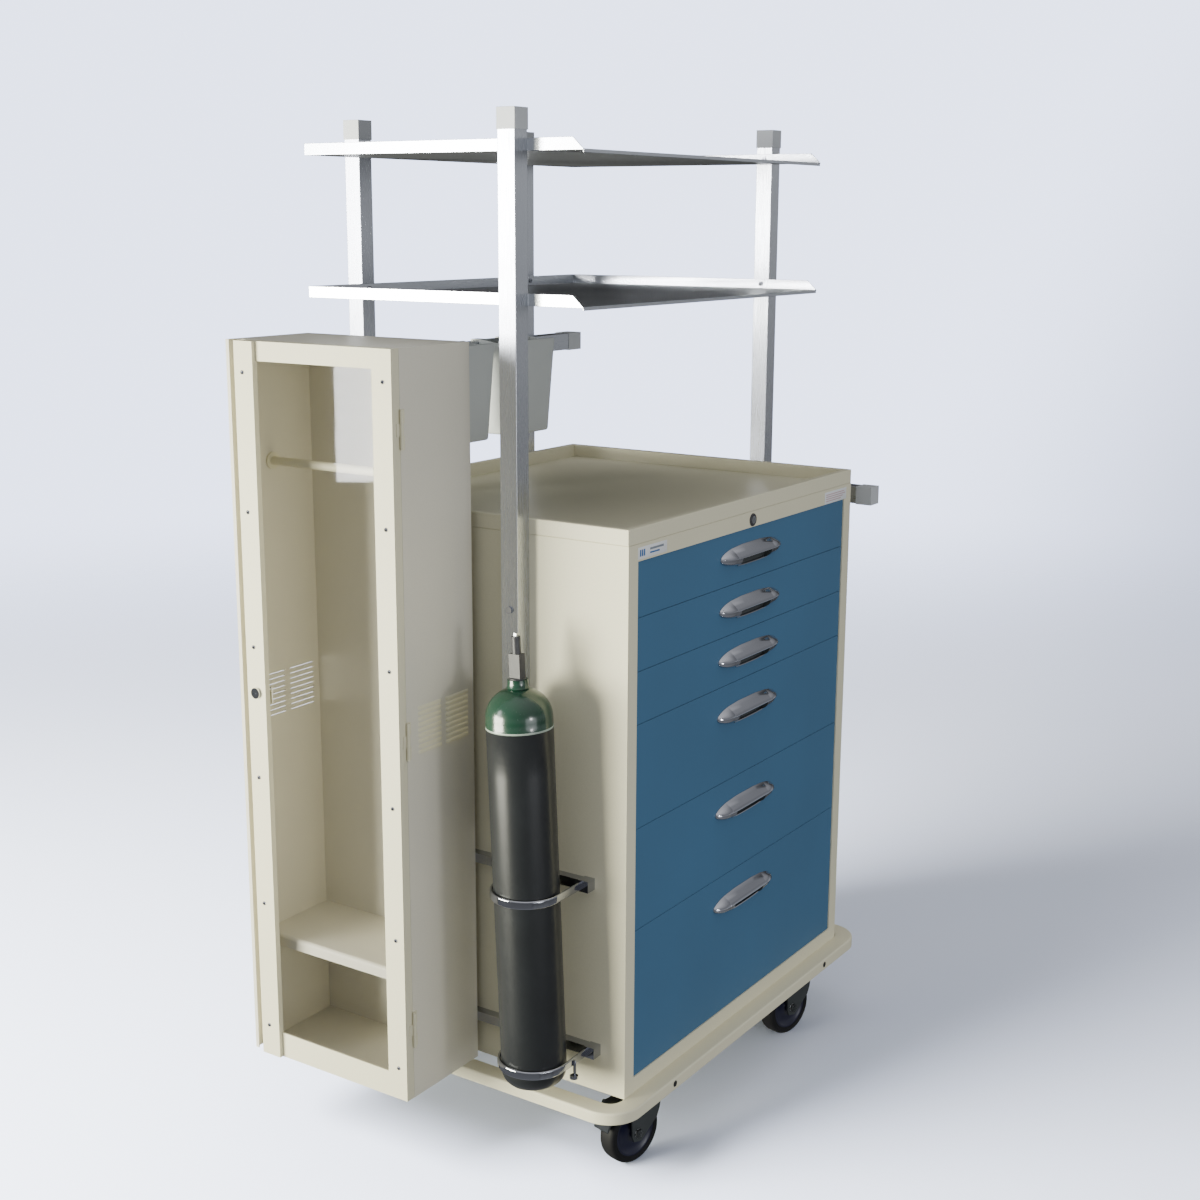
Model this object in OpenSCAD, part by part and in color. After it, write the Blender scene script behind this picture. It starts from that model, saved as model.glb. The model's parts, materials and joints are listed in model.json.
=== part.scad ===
// Hospital crash cart: a six-drawer steel cabinet on four swivel casters, with a top tray,
// two equipment shelves on square posts, a side cabinet for scopes and an oxygen cylinder.
// Millimetres. X runs to the cart's right, Y to its rear, Z up. The drawers face -Y.
// The origin is on the floor, under the middle of the whole cart.

/* [Cabinet] */
// Width of the drawer cabinet
body_w = 769; // [740:1:800]
// Depth of the drawer cabinet
body_d = 631; // [620:1:660]
// Height of the drawer cabinet without its tray
body_h = 910; // [905:1:930]
// Width of the painted frame around the drawers
frame_w = 27; // [25:1:30]
// Thickness of the painted sheet steel
skin = 1.5; // [1.2:0.1:2.5]

/* [Base] */
// Height of the cabinet's underside above the floor
base_z = 147; // [146:1:150]
// How far the bumper bar stands out at the sides
bumper_side = 60; // [55:1:62]
// How far the bumper bar stands out at the front
bumper_front = 32; // [30:1:35]
// Width of the bumper bar, seen from above
bumper_w = 35; // [30:1:38]
// Height of the bumper bar
bumper_h = 20; // [20:1:21]
// Outer corner radius of the bumper bar
bumper_r = 58; // [50:1:60]

/* [Drawers] */
// Height of one drawer unit
unit_h = 85.6; // [85:0.1:85.6]
// Gap between two drawer fronts
gap = 2; // [2:0.5:4]
// Depth of a drawer box
drawer_d = 564; // [500:1:564]
// Length of a handle
handle_l = 204; // [150:1:220]
// Height of a handle
handle_h = 36; // [30:1:40]

/* [Tray] */
// Height of the tray rim above the cabinet
tray_h = 25.6; // [20:0.1:40]
// Thickness of the tray rim
rim_w = 12; // [8:1:16]

/* [Posts and shelves] */
// Side of the square tubes
tube = 31.75; // [30:0.25:33]
// Wall of the square tubes
tube_wall = 1.6; // [1:0.1:2.5]
// Height of the top of the tubes above the floor
post_top = 1694; // [1690:1:1720]
// Height of the lower end of the posts
post_foot = 560; // [545:1:620]
// Height of the lower shelf
shelf_low = 1407.5; // [1390:0.5:1450]
// Height of the upper shelf
shelf_high = 1635; // [1600:1:1650]
// Height of the shelf lips
lip_h = 18.5; // [15:0.5:22]
// Distance of the shelf's open edge from the cabinet's front
shelf_front = 84; // [60:1:120]

/* [Rails and bins] */
// Height of the middle of the rear rail
rear_rail_z = 1296; // [1280:1:1320]
// Height of the middle of the side rail
side_rail_z = 1029; // [1020:1:1032]
// Width of a bin at its top
bin_w = 142; // [120:1:150]
// Height of a bin
bin_h = 176; // [150:1:200]

/* [Scope cabinet] */
// Depth of the scope cabinet, out from the cart
scope_d = 185.6; // [170:0.1:200]
// Width of the scope cabinet
scope_w = 336.4; // [330:0.1:340]
// Height of the scope cabinet
scope_h = 1204; // [1180:1:1210]
// Thickness of the scope cabinet's door
door_t = 18; // [15:1:20]

/* [Oxygen cylinder] */
// Outside diameter of the cylinder
gas_dia = 105; // [100:1:106]
// Length of the cylinder's shell
gas_len = 666; // [620:1:670]
// Lean of the cylinder to the rear, in degrees
gas_lean = 2.5; // [0:0.1:2.5]

/* [Casters] */
// Wheel diameter
wheel_dia = 110; // [100:1:110]
// Wheel width
wheel_w = 32; // [26:1:32]
// Distance of the axle behind the swivel axis
trail = 43; // [38:1:44]
// Angle at which the casters stand, in degrees
caster_turn = 13; // [0:1:20]
// Distance between the left and right swivel axes
caster_pitch = 555; // [540:1:560]

/* [Hidden] */
$fn = 64;
eps = 0.01;

// colours
cream = [0.83, 0.81, 0.72];
blue = [0.19, 0.35, 0.46];
steel = [0.72, 0.74, 0.77];
chrome = [0.62, 0.63, 0.66];
grey_plastic = [0.66, 0.68, 0.68];
dark = [0.16, 0.17, 0.18];

// drawers: height of each in units, from the top, and how much the first is taller than that
units = [1, 1, 1, 2, 2, 3];
seam_drop = 3.5;
front_t = 18;
front_inset = 2;
box_wall = 1.5;
open_top = base_z + body_h - frame_w;
open_low = base_z + frame_w;
function units_above(i) = i == 0 ? 0 : units[i - 1] + units_above(i - 1);
function seam(i) = i == 0 ? open_top : i == len(units) ? open_low
    : open_top - seam_drop - unit_h * units_above(i);
function handle_z(i) = seam(i) - (units[i] == 1 ? 41.5 : 53.5);
stile_d = 45;
slide_x = frame_w + 8;
box_x = frame_w + 13;
handle_out = 25;

// lock in the top rail
lock_x = body_w / 2 + 3;
lock_z = base_z + body_h - frame_w / 2 - 1;
plug_r = 6.5;
turn_gap = 0.05;

// posts, shelves, rails
side_post_y = 200;
rear_post_x = 236;
cap_wall = 1.2;
cap_h = 32;
sheet = 1.6;
rear_rail_l = 696;
rail_cap_h = 42;
side_rail_l = 560;
side_rail_front = -25;
bin_pitch = 188;
bin_right = 555;
bin_depth = 78;
bin_wall = 2.5;

// scope cabinet: back plane, near side, underside
bar_t = 16;
scope_x = -bar_t;
scope_y = body_d - 9 - scope_w;
scope_z = base_z;
scope_front = scope_x - scope_d;
seam_x = scope_front + door_t;
flange_w = 7;
strip_t = 7;
strip_w = 39;
stile_near = 38;
header_h = 31;
sill_h = 44;
door_y1 = scope_y + scope_w - 24;
glass_t = 3;
edge_d = 3;
screw_rows = 6;
screw_low = 202;
screw_pitch = 220;
hinge_r = 3;
hinge_x = seam_x - 0.25;
hinge_y = scope_y - 3.4;
slot_rows = 9;
slot_pitch = 8.9;
slot_low = 722;
scope_lock_z = 786;
lock_proud = 4;
rod_z = 1150;
rod_r = 7;
scope_shelf_z = 352;

// oxygen cylinder: place of its axis at its foot
gas_x = -86;
gas_y = 115.9;
gas_z = 184;
gas_wall = 4.5;
// bands round the cylinder: heights, places of their centres, thickness and height of the band
ring_z = [222, 505.5];
ring_y = [for (z = ring_z) gas_y + (z - gas_z) * tan(gas_lean)];
ring_t = 5;
ring_h = 14;
ring_r = gas_dia / 2 + 1 + ring_t / 2;
clamp_w = 19;

// casters: swivel axes
caster_x = [body_w / 2 - caster_pitch / 2, body_w / 2 + caster_pitch / 2];
caster_y = [22, body_d - 22];
caster_at = [[caster_x[0], caster_y[0]], [caster_x[1], caster_y[0]],
    [caster_x[0], caster_y[1]], [caster_x[1], caster_y[1]]];
wheel_r = wheel_dia / 2;
rim_r = wheel_r - 13;
plate_t = 4;
plate_z = base_z - bumper_h - plate_t;
crown_z = plate_z - 3.3 - 4;
axle_r = 5;
king_r = 6;
leg_x = wheel_w / 2 + 2;
leg_t = 3;
brake_u = 56;
brake_pin_z = crown_z + 1.8;

// outer limits, which place the origin under the middle of the cart
x_min = scope_front - strip_t - lock_proud;
x_max = body_w + 2 * tube + cap_wall;
y_min = -bumper_front;
y_max = body_d + tube + cap_wall;

module cart() {
    translate([-(x_min + x_max) / 2, -(y_min + y_max) / 2, 0]) children();
}

module box(low, high) {
    translate(low) cube(high - low);
}

// square tube with its lower corner at the origin, along Z
module square_tube(length) {
    difference() {
        cube([tube, tube, length]);
        translate([tube_wall, tube_wall, -1]) cube([tube - 2 * tube_wall, tube - 2 * tube_wall, length + 2]);
    }
}

// cap that fits over the end of a square tube and ends above it
module tube_cap(height) {
    side = tube + 2 * cap_wall;
    translate([0, 0, 3 - height]) difference() {
        translate([-cap_wall, -cap_wall, 0]) cube([side, side, height]);
        translate([0, 0, -1]) cube([tube, tube, height - 2]);
    }
}

module rounded_plan(low, high, r) {
    x0 = low[0] + r;
    x1 = high[0] - r;
    y0 = low[1] + r;
    y1 = high[1] - r;
    translate([x0, low[1]]) square([x1 - x0, high[1] - low[1]]);
    translate([low[0], y0]) square([high[0] - low[0], y1 - y0]);
    for (x = [x0, x1], y = [y0, y1]) translate([x, y]) circle(r = r);
}

// ---- drawer cabinet ----

module cabinet_shell() color(cream) cart() difference() {
    union() {
        box([0, 0, base_z], [skin, body_d, base_z + body_h]);
        box([body_w - skin, 0, base_z], [body_w, body_d, base_z + body_h]);
        box([0, body_d - skin, base_z], [body_w, body_d, base_z + body_h]);
        box([0, 0, base_z], [body_w, body_d, base_z + skin]);
        box([0, 0, base_z + body_h - skin], [body_w, body_d, base_z + body_h]);
        // face frame: two stiles and two rails
        box([0, 0, base_z], [frame_w, stile_d, base_z + body_h]);
        box([body_w - frame_w, 0, base_z], [body_w, stile_d, base_z + body_h]);
        box([0, 0, base_z], [body_w, 22, open_low]);
        box([0, 0, open_top], [body_w, 22, base_z + body_h]);
        // uprights that carry the rear of the slides
        box([0, body_d - stile_d, base_z], [frame_w, body_d, base_z + body_h]);
        box([body_w - frame_w, body_d - stile_d, base_z], [body_w, body_d, base_z + body_h]);
    }
    // the face frame and the uprights are folded sheet, open to the inside
    for (x = [skin, body_w - frame_w + skin]) {
        box([x, skin, base_z + skin], [x + frame_w - 2 * skin, stile_d + 1, base_z + body_h - skin]);
        box([x, body_d - stile_d - 1, base_z + skin],
            [x + frame_w - 2 * skin, body_d - skin, base_z + body_h - skin]);
    }
    for (z = [base_z + skin, open_top + skin])
        box([frame_w + 3, skin, z], [body_w - frame_w - 3, 30, z + frame_w - 2 * skin]);
    // hole for the lock in the top rail
    translate([lock_x, -1, lock_z]) rotate([-90, 0, 0]) cylinder(r = plug_r + 2.5, h = 30);
}

module tray_top() color(cream) cart() difference() {
    box([0, 0, base_z + body_h], [body_w, body_d, base_z + body_h + tray_h]);
    box([rim_w, rim_w, base_z + body_h + 1.6], [body_w - rim_w, body_d - rim_w, base_z + body_h + tray_h + 1]);
    // the rim is folded sheet, open below
    translate([0, 0, base_z + body_h - 1]) linear_extrude(tray_h - 0.6) difference() {
        translate([1.6, 1.6]) square([body_w - 3.2, body_d - 3.2]);
        translate([rim_w - 1.6, rim_w - 1.6]) square([body_w - 2 * rim_w + 3.2, body_d - 2 * rim_w + 3.2]);
    }
}

// ---- base ----

module bumper_plan(inset) {
    rounded_plan([-bumper_side + inset, -bumper_front + inset],
        [body_w + bumper_side - inset, y_max - inset], bumper_r - inset);
}

module bumper_frame() color(cream) cart() difference() {
    translate([0, 0, base_z - bumper_h]) linear_extrude(bumper_h) difference() {
        bumper_plan(0);
        bumper_plan(bumper_w);
    }
    // the bar is a channel that is open below
    translate([0, 0, base_z - bumper_h - 1]) linear_extrude(bumper_h - 2.5 + 1) difference() {
        bumper_plan(2.5);
        bumper_plan(bumper_w - 2.5);
    }
    // two holes in the front face
    for (x = caster_x) translate([x, -bumper_front - 1, base_z - bumper_h / 2]) rotate([-90, 0, 0])
        cylinder(r = 5, h = 2.5 + 2);
}

// flat bar across the base, with a hollow block up to the cabinet's underside
module caster_beam(y0, y1) {
    low = base_z - bumper_h;
    translate([0, 0, low]) linear_extrude(4) intersection() {
        bumper_plan(bumper_w);
        translate([-bumper_side, y0]) square([body_w + 2 * bumper_side, y1 - y0]);
    }
    difference() {
        box([48, y0, low + 4 - eps], [body_w - 48, y1, base_z]);
        box([0, y0 + 2, low + 2], [body_w, y1 - 2, base_z - 2]);
    }
}

module caster_beams() color(dark) cart() {
    caster_beam(bumper_w - bumper_front, 41);
    caster_beam(body_d - 41, y_max - bumper_w);
    for (at = caster_at) translate([at[0], at[1], 0]) {
        // mounting plate with its raceway, and the kingpin with its nut
        box([-36, -36, plate_z], [36, 36, plate_z + plate_t]);
        translate([0, 0, plate_z - 3]) cylinder(r = 21, h = 3);
        translate([0, 0, crown_z - 6]) cylinder(r = king_r, h = plate_z - 3 - crown_z + 6);
        translate([0, 0, crown_z - 6]) cylinder(r = 10, h = 5.7);
    }
}

// ---- drawers ----

// C channel along Y, open to +X
module channel(width, height, length, wall) {
    difference() {
        cube([width, length, height]);
        translate([wall, -1, wall]) cube([width, length + 2, height - 2 * wall]);
    }
}

module slide_pair(i) {
    z = box_low(i) + 18;
    for (side = [0, 1]) translate([side * body_w, 0, z]) mirror([side, 0, 0]) children();
}

function box_low(i) = seam(i + 1) + gap / 2 + 8;
function box_high(i) = seam(i) - gap / 2 - (i == 0 ? 14 : 10);

module cabinet_slides() color(steel) cart() {
    for (i = [0 : len(units) - 1]) slide_pair(i)
        translate([frame_w, 22, 0]) channel(8, 38, body_d - 22 - 4, 1.5);
}

module drawer_front(i) color(blue) cart() {
    side = frame_w + gap / 2;
    difference() {
        box([side, front_inset, seam(i + 1) + gap / 2],
            [body_w - side, front_inset + front_t, seam(i) - gap / 2]);
        box([side + 2, front_inset + 2, seam(i + 1) + gap / 2 + 2],
            [body_w - side - 2, front_inset + front_t - 1.5, seam(i) - gap / 2 - 2]);
    }
}

module drawer_box(i) color(steel) cart() {
    y0 = front_inset + front_t;
    difference() {
        box([box_x, y0, box_low(i)], [body_w - box_x, y0 + drawer_d, box_high(i)]);
        box([box_x + box_wall, y0 + box_wall, box_low(i) + box_wall],
            [body_w - box_x - box_wall, y0 + drawer_d - box_wall, box_high(i) + 1]);
    }
    // the slide members that travel with the drawer
    slide_pair(i) translate([box_x, y0 + 4, 5]) mirror([1, 0, 0]) channel(10, 28, drawer_d - 8, 1.5);
}

// outline of the pull in the plane across it, from the drawer front outwards:
// a sheet that comes down from the top, turns in under the fingers, and a low rim below
module pull_section(depth, height) {
    polygon([[0, height / 2], [depth * 0.3, height / 2 - 2], [depth * 0.92, -height * 0.12],
        [depth, -height * 0.22], [depth - 2, -height * 0.3], [depth * 0.84, -height * 0.2],
        [depth * 0.25, height / 2 - 5], [1.5, height / 2 - 4], [1.5, 3 - height / 2],
        [depth * 0.34, 4 - height / 2], [depth * 0.34, 1 - height / 2], [0, -height / 2]]);
}

// solid outline that closes the ends
module pull_end(depth, height) {
    polygon([[0, height / 2], [depth * 0.3, height / 2 - 2], [depth * 0.92, -height * 0.12],
        [depth, -height * 0.22], [depth * 0.92, -height * 0.34], [depth * 0.34, 1 - height / 2],
        [0, -height / 2]]);
}

module handle(i) color(chrome) cart() translate([body_w / 2, front_inset, handle_z(i)]) {
    straight = handle_l - 2 * handle_out;
    rotate([90, 0, 90]) translate([0, 0, -straight / 2]) linear_extrude(straight)
        mirror([1, 0, 0]) pull_section(handle_out, handle_h);
    for (side = [-1, 1]) translate([side * straight / 2, 0, 0])
        rotate([0, 0, side > 0 ? -90 : 180]) rotate_extrude(angle = 90)
            pull_end(handle_out, handle_h);
}

// ---- lock in the top rail ----

module lock_housing() color(chrome) cart() translate([lock_x, 0, lock_z]) rotate([-90, 0, 0]) difference() {
    union() {
        translate([0, 0, -2.5]) cylinder(r = 11, h = 2.5);
        cylinder(r = plug_r + 2.5, h = 22);
    }
    translate([0, 0, -3]) cylinder(r = plug_r, h = 26);
}

module lock_plug() color(steel) cart() translate([lock_x, 0, lock_z]) rotate([-90, 0, 0]) {
    difference() {
        translate([0, 0, -2.5]) cylinder(r = plug_r - turn_gap, h = 26);
        box([-0.9, -3.5, -3], [0.9, 3.5, 9]);
    }
    // the cam behind the rail
    difference() {
        box([-4, -4, 23.5], [11, 4, 25.5]);
        box([8, -5, 24.5], [12, 5, 26]);
    }
}

// ---- posts, shelves and rails ----

post_at = [[-tube, side_post_y - tube / 2], [body_w, side_post_y - tube / 2],
    [body_w / 2 - rear_post_x - tube / 2, body_d], [body_w / 2 + rear_post_x - tube / 2, body_d]];

module posts() color(steel) cart() {
    for (at = post_at) translate([at[0], at[1], post_foot]) square_tube(post_top - post_foot);
}

module tube_caps() color(grey_plastic) cart() {
    for (at = post_at) translate([at[0], at[1], post_top]) tube_cap(cap_h);
    for (side = [0, 1]) {
        rear_rail_place() translate([0, 0, side * rear_rail_l]) mirror([0, 0, 1 - side]) tube_cap(rail_cap_h);
        side_rail_place() translate([0, 0, side * side_rail_l]) mirror([0, 0, 1 - side]) tube_cap(cap_h);
    }
}

// tube's own axis is Z: these lay it along X and along Y
module rear_rail_place() {
    translate([body_w / 2 + 15.5 - rear_rail_l / 2, body_d - tube, rear_rail_z + tube / 2])
        rotate([0, 90, 0]) children();
}

module side_rail_place() {
    translate([body_w + tube, side_rail_front, side_rail_z + tube / 2]) rotate([-90, 0, 0]) children();
}

module rear_rail() color(steel) cart() rear_rail_place() square_tube(rear_rail_l);

module side_rail() color(steel) cart() {
    side_rail_place() square_tube(side_rail_l);
    // spacer blocks between the rail and the cabinet's side
    for (y = [40, 440]) box([body_w, y, side_rail_z - 12], [body_w + tube, y + 24, side_rail_z + 12]);
}

// the corner of a lip is cut at 45 degrees at its front end
module side_lip(x, z) {
    translate([x, 0, z]) rotate([90, 0, 90]) linear_extrude(sheet)
        polygon([[shelf_front, 0], [body_d, 0], [body_d, lip_h], [shelf_front + lip_h, lip_h],
            [shelf_front, sheet]]);
}

module shelf(z) {
    union() {
        box([0, shelf_front, z], [body_w, body_d, z + sheet]);
        side_lip(0, z);
        side_lip(body_w - sheet, z);
        box([0, body_d - sheet, z], [body_w, body_d, z + lip_h]);
        // hem folded down along the open edge
        box([sheet, shelf_front, z - 4], [body_w - sheet, shelf_front + sheet, z + sheet]);
    }
}

module upper_shelf() color(steel) cart() shelf(shelf_high);

module lower_shelf() color(steel) cart() shelf(shelf_low);

module frame_screws() color(chrome) cart() {
    for (z = [shelf_low + 10, shelf_high + 10]) {
        translate([sheet, side_post_y, z]) rotate([0, 90, 0]) cylinder(r = 4, h = 2.4);
        translate([body_w - sheet, side_post_y, z]) rotate([0, -90, 0]) cylinder(r = 4, h = 2.4);
        for (s = [-1, 1]) translate([body_w / 2 + s * rear_post_x, body_d - sheet, z]) rotate([90, 0, 0])
            cylinder(r = 4, h = 2.4);
    }
    // two bolts through each post into the cabinet
    for (z = [post_foot + 40, post_foot + 380]) {
        translate([-tube, side_post_y, z]) rotate([0, -90, 0]) cylinder(r = 6, h = 3.5);
        translate([body_w + tube, side_post_y, z]) rotate([0, 90, 0]) cylinder(r = 6, h = 3.5);
        for (s = [-1, 1]) translate([body_w / 2 + s * rear_post_x, body_d + tube, z]) rotate([-90, 0, 0])
            cylinder(r = 6, h = 1.2);
    }
}

// open bin with a narrower foot, which hooks over the rear rail
module bin_body(inset) {
    foot = 9;
    h = 0.4;
    hull() {
        translate([inset, inset, bin_h]) cube([bin_w - 2 * inset, bin_depth - 2 * inset, h]);
        translate([inset + foot, inset + foot, inset]) cube([bin_w - 2 * (inset + foot), bin_depth - foot - 2 * inset, h]);
    }
}

module bin(x) {
    y = body_d - tube - bin_depth - 0.4;
    rail_top = rear_rail_z + tube / 2;
    translate([x, y, rail_top + 0.3 - (bin_h - 5)]) {
        difference() {
            bin_body(0);
            bin_body(bin_wall);
            translate([-1, -1, bin_h - eps]) cube([bin_w + 2, bin_depth + 2, 5]);
        }
        // two hooks over the rail, each with a lip behind it
        for (hx = [22, bin_w - 44]) {
            box([hx, bin_depth - bin_wall, bin_h - 5], [hx + 22, bin_depth + tube + 3, bin_h - 2]);
            box([hx, bin_depth + tube + 0.8, bin_h - 16], [hx + 22, bin_depth + tube + 3, bin_h - 4]);
        }
    }
}

module bin_1() color(grey_plastic) cart() bin(bin_right - bin_w);

module bin_2() color(grey_plastic) cart() bin(bin_right - bin_w - bin_pitch);

// ---- scope cabinet ----

scope_y1 = scope_y + scope_w;
scope_top = scope_z + scope_h;

module louvres(y) {
    for (row = [0 : slot_rows - 1], x = [-155, -87]) box([x, y - 1, slot_low + row * slot_pitch],
        [x + 55, y + skin + 1, slot_low + row * slot_pitch + 3]);
}

module scope_cabinet() color(cream) cart() difference() {
    union() {
        box([scope_x - skin, scope_y, scope_z], [scope_x, scope_y1, scope_top]);
        box([seam_x, scope_y, scope_z], [scope_x, scope_y + skin, scope_top]);
        box([scope_front, scope_y1 - skin, scope_z], [scope_x, scope_y1, scope_top]);
        box([seam_x, scope_y, scope_z], [scope_x, scope_y1, scope_z + skin]);
        box([seam_x, scope_y, scope_top - skin], [scope_x, scope_y1, scope_top]);
        // far flange, and the stops that the door closes on
        box([scope_front, scope_y1 - flange_w, scope_z], [scope_front + skin, scope_y1, scope_top]);
        box([seam_x, scope_y1 - 26, scope_z], [seam_x + skin, scope_y1, scope_top]);
        box([seam_x, scope_y, scope_z], [seam_x + skin, scope_y + 14, scope_top]);
    }
    louvres(scope_y);
    louvres(scope_y1 - skin);
}

module scope_rod() color(cream) cart() {
    rotate([-90, 0, 0]) translate([-111, -rod_z, 0]) {
        translate([0, 0, scope_y + skin]) cylinder(r = rod_r, h = scope_w - 2 * skin);
        for (y = [scope_y + skin, scope_y1 - skin - 3]) translate([0, 0, y]) cylinder(r = rod_r * 2, h = 3);
    }
}

module scope_shelf() color(cream) cart() {
    y0 = scope_y + skin;
    y1 = scope_y1 - skin;
    front = seam_x + 12;
    box([front + 6, y0, scope_shelf_z - skin], [scope_x - skin, y1, scope_shelf_z]);
    // rounded front edge with a lip turned down
    difference() {
        translate([front + 6, y0, scope_shelf_z - 6]) rotate([-90, 0, 0]) cylinder(r = 6, h = y1 - y0);
        translate([front + 6, y0 - 1, scope_shelf_z - 6]) rotate([-90, 0, 0]) cylinder(r = 4, h = y1 - y0 + 2);
        box([front + 6, y0 - 1, scope_shelf_z - 20], [front + 20, y1 + 1, scope_shelf_z + 1]);
        box([front - 1, y0 - 1, scope_shelf_z - 20], [front + 20, y1 + 1, scope_shelf_z - 6]);
    }
    box([front, y0, scope_shelf_z - 20], [front + 2, y1, scope_shelf_z - 6]);
}

// the door is a ring of folded sheet, with a raised strip along its lock side
module scope_door_frame() color(cream) cart() {
    x0 = scope_front;
    x1 = seam_x - 0.5;
    y0 = scope_y;
    z0 = scope_z + 0.5;
    z1 = scope_top - 0.5;
    strip_y = door_y1 - strip_w;
    difference() {
        union() {
            box([x0, y0, z0], [x1, door_y1, z1]);
            box([x0 - strip_t, strip_y, z0], [x0 + edge_d, door_y1, z1]);
        }
        // opening for the window
        box([x0 - 8, y0 + stile_near, scope_z + sill_h], [x1 + 1, strip_y, scope_top - header_h]);
        // hollow behind the face, open to the rear
        box([x0 + 1.5, y0 + 1.5, z0 + 1.5], [x1 + 1, door_y1 - 1.5, z1 - 1.5]);
        // hollow of the raised strip
        box([x0 - strip_t + 1.5, strip_y + 1.5, z0 + 1.5], [x0 + edge_d + 1, door_y1 - 1.5, z1 - 1.5]);
        // hole for the lock
        translate([x0 - strip_t - 1, door_y1 - strip_w / 2, scope_lock_z]) rotate([0, 90, 0])
            cylinder(r = 7, h = 8);
        door_screw_places() translate([0, 0, -8]) cylinder(r = 1.7, h = 9);
    }
    // edges of the sheet turned in round the window opening
    difference() {
        box([x0 + 1, y0 + stile_near - 1.5, scope_z + sill_h - 1.5],
            [x0 + edge_d, strip_y + 1.5, scope_top - header_h + 1.5]);
        box([x0, y0 + stile_near, scope_z + sill_h], [x0 + edge_d + 1, strip_y, scope_top - header_h]);
    }
    // knuckles of the door's half of each hinge
    door_hinges() difference() {
        union() {
            translate([0, 0, -9.7]) cylinder(r = hinge_r, h = 19.4);
            box([-9, 1.9, -9.7], [-0.7, 3.6, 9.7]);
        }
        translate([0, 0, -11]) cylinder(r = 1.5 + turn_gap, h = 22);
    }
}

module door_hinges() {
    for (z = [scope_z + 120, scope_z + scope_h / 2, scope_top - 120])
        translate([hinge_x, hinge_y, z]) children();
}

// each screw's head stands on the door's face
module door_screw_places() {
    for (row = [0 : screw_rows - 1]) {
        z = screw_low + row * screw_pitch;
        translate([scope_front, scope_y + 16.5, z]) rotate([0, -90, 0]) children();
        translate([scope_front - strip_t, door_y1 - 17, z]) rotate([0, -90, 0]) children();
    }
}

module scope_door_screws() color(chrome) cart() door_screw_places() {
    cylinder(r = 3.2, h = 2);
    translate([0, 0, -1.5]) cylinder(r = 1.6, h = 1.5);
}

module scope_door_window() color([0.8, 0.86, 0.9, 0.4]) cart() {
    box([scope_front + edge_d, scope_y + 20, scope_z + 25],
        [scope_front + edge_d + glass_t, door_y1 - strip_w + 8, scope_top - 15]);
}

module scope_hinge() color(steel) cart() door_hinges() {
    translate([0, 0, -30]) cylinder(r = 1.5, h = 60);
    for (z = [-30, 10]) difference() {
        translate([0, 0, z]) cylinder(r = hinge_r, h = 20);
        translate([0, 0, z - 1]) cylinder(r = 1.5, h = 22);
    }
    // leaves that fix the knuckles to the cabinet's side
    for (z = [-30, 10]) box([0.4, 1.9, z], [9, 3.4, z + 20]);
}

module scope_door_lock() color(chrome) cart()
    translate([scope_front - strip_t, door_y1 - strip_w / 2, scope_lock_z]) rotate([0, 90, 0]) {
        difference() {
            union() {
                translate([0, 0, -lock_proud]) cylinder(r = 9, h = lock_proud);
                cylinder(r = 7 - turn_gap, h = 8);
                cylinder(r = 4, h = 31);
            }
            box([-0.9, -4, -lock_proud - 1], [0.9, 4, -1]);
        }
        // cam that turns behind the stop
        box([-4, -5, 28.5], [24, 5, 31]);
    }

// ---- oxygen cylinder ----

module gas_place() {
    translate([gas_x, gas_y, gas_z]) rotate([-gas_lean, 0, 0]) children();
}

// outline of half the cylinder: straight wall, rounded foot and domed shoulder
module gas_outline(r, low, shoulder, foot, neck) {
    high = gas_len - 14 - (gas_dia / 2 - r);
    intersection() {
        union() {
            translate([0, low + foot]) square([r, high - shoulder - foot - low]);
            translate([0, high - shoulder - 1]) square([r - shoulder, shoulder + 1]);
            translate([r - shoulder, high - shoulder]) circle(r = shoulder);
            translate([0, low]) square([r - foot, foot + 1]);
            translate([r - foot, low + foot]) circle(r = foot);
            translate([0, high - 3]) square([neck, gas_len - high + 4]);
        }
        translate([0, low]) square([r + 1, gas_len]);
    }
}

module oxygen_cylinder() color([0.1, 0.11, 0.12]) cart() gas_place() rotate_extrude($fn = 96) difference() {
    intersection() {
        gas_outline(gas_dia / 2, 0, 46, 26, 16);
        square([gas_dia, gas_len]);
    }
    gas_outline(gas_dia / 2 - gas_wall, gas_wall + 2, 41.5, 21.5, 9);
}

module oxygen_valve() color(steel) cart() gas_place() translate([0, 0, gas_len]) difference() {
    union() {
        cylinder(r = 13, h = 2);
        box([-7.5, -10, 2 - eps], [7.5, 10, 40]);
        translate([0, 0, 40 - eps]) cylinder(r = 7, h = 27);
        // threaded tail in the cylinder's neck
        translate([0, 0, -18]) cylinder(r = 9, h = 18 + eps);
    }
    // outlet port and stem bore
    translate([0, 0, 27]) rotate([0, 90, 0]) cylinder(r = 3, h = 12);
    translate([0, 0, 43]) cylinder(r = 4, h = 30);
}

module valve_stem() color(dark) cart() gas_place() translate([0, 0, gas_len]) {
    translate([0, 0, 43.3]) cylinder(r = 4 - turn_gap, h = 23.7);
    box([-2.5, -2.5, 67 - eps], [2.5, 2.5, 72]);
}

// outline of the band that holds the cylinder, with rounded edges
module band_section(w, h) {
    translate([-w / 2, -h / 2 + w / 2]) square([w, h - w]);
    for (y = [-h / 2 + w / 2, h / 2 - w / 2]) translate([0, y]) circle(d = w, $fn = 24);
}

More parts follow.
